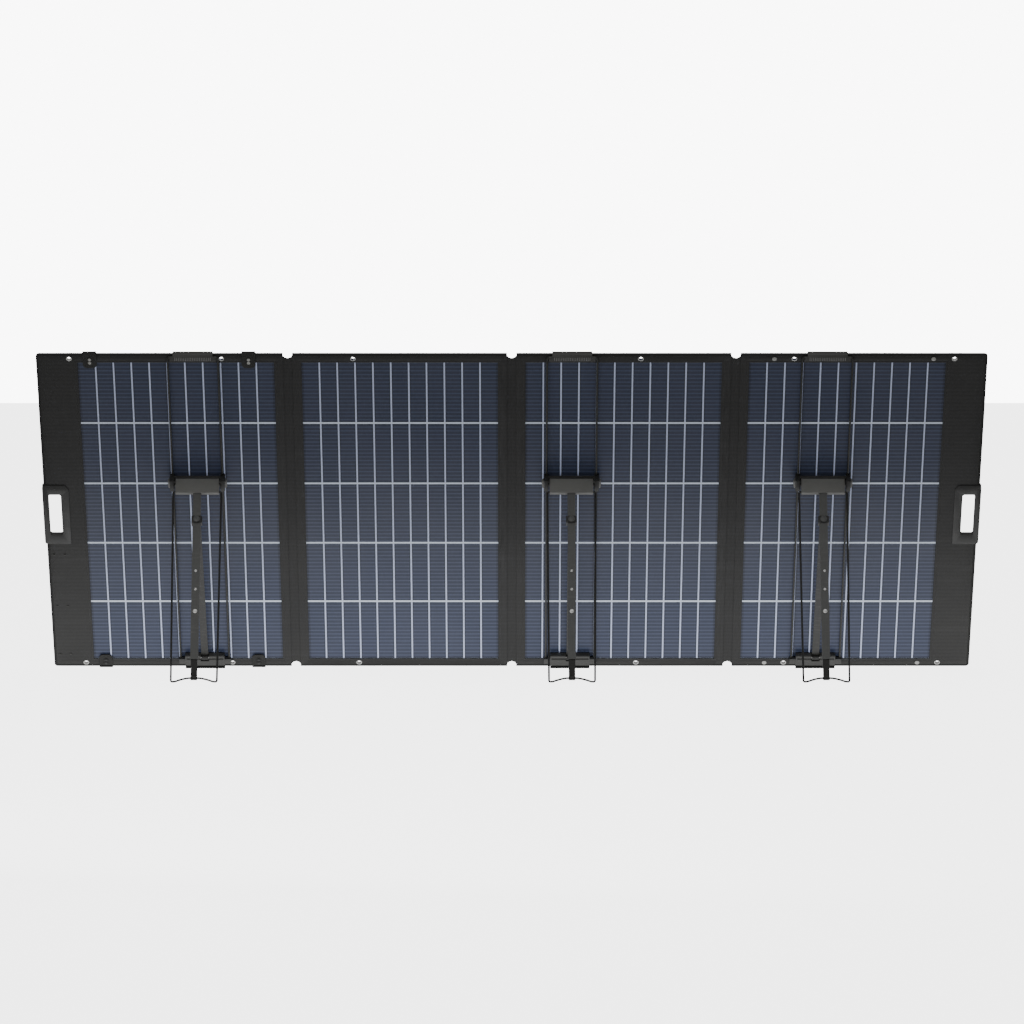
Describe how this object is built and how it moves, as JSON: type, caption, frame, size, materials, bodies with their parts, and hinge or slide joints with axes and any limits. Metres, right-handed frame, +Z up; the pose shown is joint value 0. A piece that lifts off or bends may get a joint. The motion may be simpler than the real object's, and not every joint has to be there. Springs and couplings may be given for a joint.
{
  "type": "folding solar panel",
  "caption": "Folding solar panel with hinged fabric-framed cell sections, carry handles and detachable wire stands that hold it at a tilt.",
  "frame": {"origin": "middle of the footprint, on the ground between the bottom brackets and the stand feet", "axes": "+X along the panel's long edge, +Y from the leaning back towards the foot of the sun side, +Z up"},
  "size_m": [1.842, 0.539, 0.6425],
  "materials": {
    "cover_fabric": "matt black coated ribbed fabric",
    "hinge_fabric": "matt black fabric",
    "cell_laminate": "dark blue cells under a satin film, with pale busbars",
    "handle_moulding": "fine-grained black moulding",
    "strap_webbing": "black tape",
    "junction_housing": "black moulding",
    "wire_steel": "dark coated spring wire",
    "hook_moulding": "charcoal moulding",
    "pin_steel": "plain steel",
    "carriage_moulding": "charcoal moulding",
    "button_moulding": "mid grey moulding",
    "head_moulding": "warm grey moulding",
    "leg_channel": "warm grey coated steel",
    "strut_steel": "black coated steel strip"
  },
  "bodies": {
    "panel_1": {"cover_1": "cover_fabric", "laminate_1": "cell_laminate", "handle_left": "handle_moulding", "junction_box": "junction_housing", "panel_wire_1": "wire_steel", "bottom_bracket_1": "hook_moulding", "bottom_pin_1": "pin_steel"},
    "panel_2": {"cover_2": "cover_fabric", "laminate_2": "cell_laminate", "fabric_hinge_1": "hinge_fabric"},
    "panel_3": {"cover_3": "cover_fabric", "laminate_3": "cell_laminate", "fabric_hinge_2": "hinge_fabric", "fabric_hinge_3": "hinge_fabric", "panel_wire_2": "wire_steel", "bottom_bracket_2": "hook_moulding", "bottom_pin_2": "pin_steel"},
    "panel_4": {"cover_4": "cover_fabric", "laminate_4": "cell_laminate", "handle_right": "handle_moulding", "panel_wire_3": "wire_steel", "bottom_bracket_3": "hook_moulding", "bottom_pin_3": "pin_steel"},
    "strap_top_1": {"strap_top_1": "strap_webbing"},
    "strap_bottom_1": {"strap_bottom_1": "strap_webbing"},
    "strap_top_2": {"strap_top_2": "strap_webbing"},
    "strap_bottom_2": {"strap_bottom_2": "strap_webbing"},
    "top_hook_1": {"top_hook_1": "hook_moulding"},
    "carriage_1": {"carriage_1": "carriage_moulding", "carriage_axle_1": "pin_steel"},
    "button_left_1": {"button_left_1": "button_moulding"},
    "button_right_1": {"button_right_1": "button_moulding"},
    "leg_1": {"leg_head_1": "head_moulding", "leg_channel_1": "leg_channel", "foot_bar_1": "strut_steel", "leg_wire_1": "wire_steel", "knuckle_1": "carriage_moulding"},
    "strut_1": {"strut_1": "strut_steel"},
    "top_hook_2": {"top_hook_2": "hook_moulding"},
    "carriage_2": {"carriage_2": "carriage_moulding", "carriage_axle_2": "pin_steel"},
    "button_left_2": {"button_left_2": "button_moulding"},
    "button_right_2": {"button_right_2": "button_moulding"},
    "leg_2": {"leg_head_2": "head_moulding", "leg_channel_2": "leg_channel", "foot_bar_2": "strut_steel", "leg_wire_2": "wire_steel", "knuckle_2": "carriage_moulding"},
    "strut_2": {"strut_2": "strut_steel"},
    "top_hook_3": {"top_hook_3": "hook_moulding"},
    "carriage_3": {"carriage_3": "carriage_moulding", "carriage_axle_3": "pin_steel"},
    "button_left_3": {"button_left_3": "button_moulding"},
    "button_right_3": {"button_right_3": "button_moulding"},
    "leg_3": {"leg_head_3": "head_moulding", "leg_channel_3": "leg_channel", "foot_bar_3": "strut_steel", "leg_wire_3": "wire_steel", "knuckle_3": "carriage_moulding"},
    "strut_3": {"strut_3": "strut_steel"}
  },
  "joints": [
    {"name": "fold_2", "type": "hinge", "parent": "panel_3", "child": "panel_2", "pos_m": [0, 0.00001, 0.3215], "axis": [0, -0.6389, 0.7693], "range_deg": [0, 90], "deforming": ["fabric_hinge_2"]},
    {"name": "fold_1", "type": "hinge", "parent": "panel_2", "child": "panel_1", "pos_m": [-0.4324, 0.00386, 0.3247], "axis": [0, -0.6389, 0.7693], "range_deg": [-178, 0], "deforming": ["fabric_hinge_1"]},
    {"name": "fold_3", "type": "hinge", "parent": "panel_3", "child": "panel_4", "pos_m": [0.4324, 0.00386, 0.3247], "axis": [0, -0.6389, 0.7693], "range_deg": [0, 180], "deforming": ["fabric_hinge_3"]},
    {"name": "strap_top_1_open", "type": "hinge", "parent": "panel_1", "child": "strap_top_1", "pos_m": [-0.8137, -0.26077, 0.64022], "axis": [-1, 0, 0], "range_deg": [0, 165]},
    {"name": "strap_bottom_1_open", "type": "hinge", "parent": "panel_1", "child": "strap_bottom_1", "pos_m": [-0.8137, 0.2654, 0.00661], "axis": [1, 0, 0], "range_deg": [0, 165]},
    {"name": "strap_top_2_open", "type": "hinge", "parent": "panel_1", "child": "strap_top_2", "pos_m": [-0.5073, -0.26077, 0.64022], "axis": [-1, 0, 0], "range_deg": [0, 165]},
    {"name": "strap_bottom_2_open", "type": "hinge", "parent": "panel_1", "child": "strap_bottom_2", "pos_m": [-0.5073, 0.2654, 0.00661], "axis": [1, 0, 0], "range_deg": [0, 165]},
    {"name": "top_hook_1_slide", "type": "slide", "parent": "panel_1", "child": "top_hook_1", "axis": [0, -0.6389, 0.7693], "range_m": [0, 0.004], "stiffness_N_per_m": 300, "springref_m": -0.01},
    {"name": "carriage_1_slide", "type": "slide", "parent": "panel_1", "child": "carriage_1", "axis": [0, -0.6389, 0.7693], "range_m": [0, 0.03787]},
    {"name": "leg_1_fold", "type": "hinge", "parent": "carriage_1", "child": "leg_1", "pos_m": [-0.6147, -0.07415, 0.3795], "axis": [1, 0, 0], "range_deg": [0, 63]},
    {"name": "strut_1_fold", "type": "hinge", "parent": "panel_1", "child": "strut_1", "pos_m": [-0.6147, 0.23539, 0.02303], "axis": [1, 0, 0], "range_deg": [-9.61, 0]},
    {"name": "button_left_1_press", "type": "slide", "parent": "carriage_1", "child": "button_left_1", "axis": [1, 0, 0], "range_m": [0, 0.002], "stiffness_N_per_m": 600, "springref_m": -0.001},
    {"name": "button_right_1_press", "type": "slide", "parent": "carriage_1", "child": "button_right_1", "axis": [-1, 0, 0], "range_m": [0, 0.002], "stiffness_N_per_m": 600, "springref_m": -0.001},
    {"name": "top_hook_2_slide", "type": "slide", "parent": "panel_3", "child": "top_hook_2", "axis": [0, -0.6389, 0.7693], "range_m": [0, 0.004], "stiffness_N_per_m": 300, "springref_m": -0.01},
    {"name": "carriage_2_slide", "type": "slide", "parent": "panel_3", "child": "carriage_2", "axis": [0, -0.6389, 0.7693], "range_m": [0, 0.03787]},
    {"name": "leg_2_fold", "type": "hinge", "parent": "carriage_2", "child": "leg_2", "pos_m": [0.1167, -0.07415, 0.3795], "axis": [1, 0, 0], "range_deg": [0, 63]},
    {"name": "strut_2_fold", "type": "hinge", "parent": "panel_3", "child": "strut_2", "pos_m": [0.1167, 0.23539, 0.02303], "axis": [1, 0, 0], "range_deg": [-9.61, 0]},
    {"name": "button_left_2_press", "type": "slide", "parent": "carriage_2", "child": "button_left_2", "axis": [1, 0, 0], "range_m": [0, 0.002], "stiffness_N_per_m": 600, "springref_m": -0.001},
    {"name": "button_right_2_press", "type": "slide", "parent": "carriage_2", "child": "button_right_2", "axis": [-1, 0, 0], "range_m": [0, 0.002], "stiffness_N_per_m": 600, "springref_m": -0.001},
    {"name": "top_hook_3_slide", "type": "slide", "parent": "panel_4", "child": "top_hook_3", "axis": [0, -0.6389, 0.7693], "range_m": [0, 0.004], "stiffness_N_per_m": 300, "springref_m": -0.01},
    {"name": "carriage_3_slide", "type": "slide", "parent": "panel_4", "child": "carriage_3", "axis": [0, -0.6389, 0.7693], "range_m": [0, 0.03787]},
    {"name": "leg_3_fold", "type": "hinge", "parent": "carriage_3", "child": "leg_3", "pos_m": [0.6087, -0.07415, 0.3795], "axis": [1, 0, 0], "range_deg": [0, 63]},
    {"name": "strut_3_fold", "type": "hinge", "parent": "panel_4", "child": "strut_3", "pos_m": [0.6087, 0.23539, 0.02303], "axis": [1, 0, 0], "range_deg": [-9.61, 0]},
    {"name": "button_left_3_press", "type": "slide", "parent": "carriage_3", "child": "button_left_3", "axis": [1, 0, 0], "range_m": [0, 0.002], "stiffness_N_per_m": 600, "springref_m": -0.001},
    {"name": "button_right_3_press", "type": "slide", "parent": "carriage_3", "child": "button_right_3", "axis": [-1, 0, 0], "range_m": [0, 0.002], "stiffness_N_per_m": 600, "springref_m": -0.001}
  ],
  "couplings": [
    {"joint": "carriage_1_slide", "follows": "leg_1_fold", "m_per_rad": 0.034352},
    {"joint": "strut_1_fold", "follows": "leg_1_fold", "ratio": -0.15238},
    {"joint": "carriage_2_slide", "follows": "leg_2_fold", "m_per_rad": 0.034352},
    {"joint": "strut_2_fold", "follows": "leg_2_fold", "ratio": -0.15238},
    {"joint": "carriage_3_slide", "follows": "leg_3_fold", "m_per_rad": 0.034352},
    {"joint": "strut_3_fold", "follows": "leg_3_fold", "ratio": -0.15238}
  ]
}
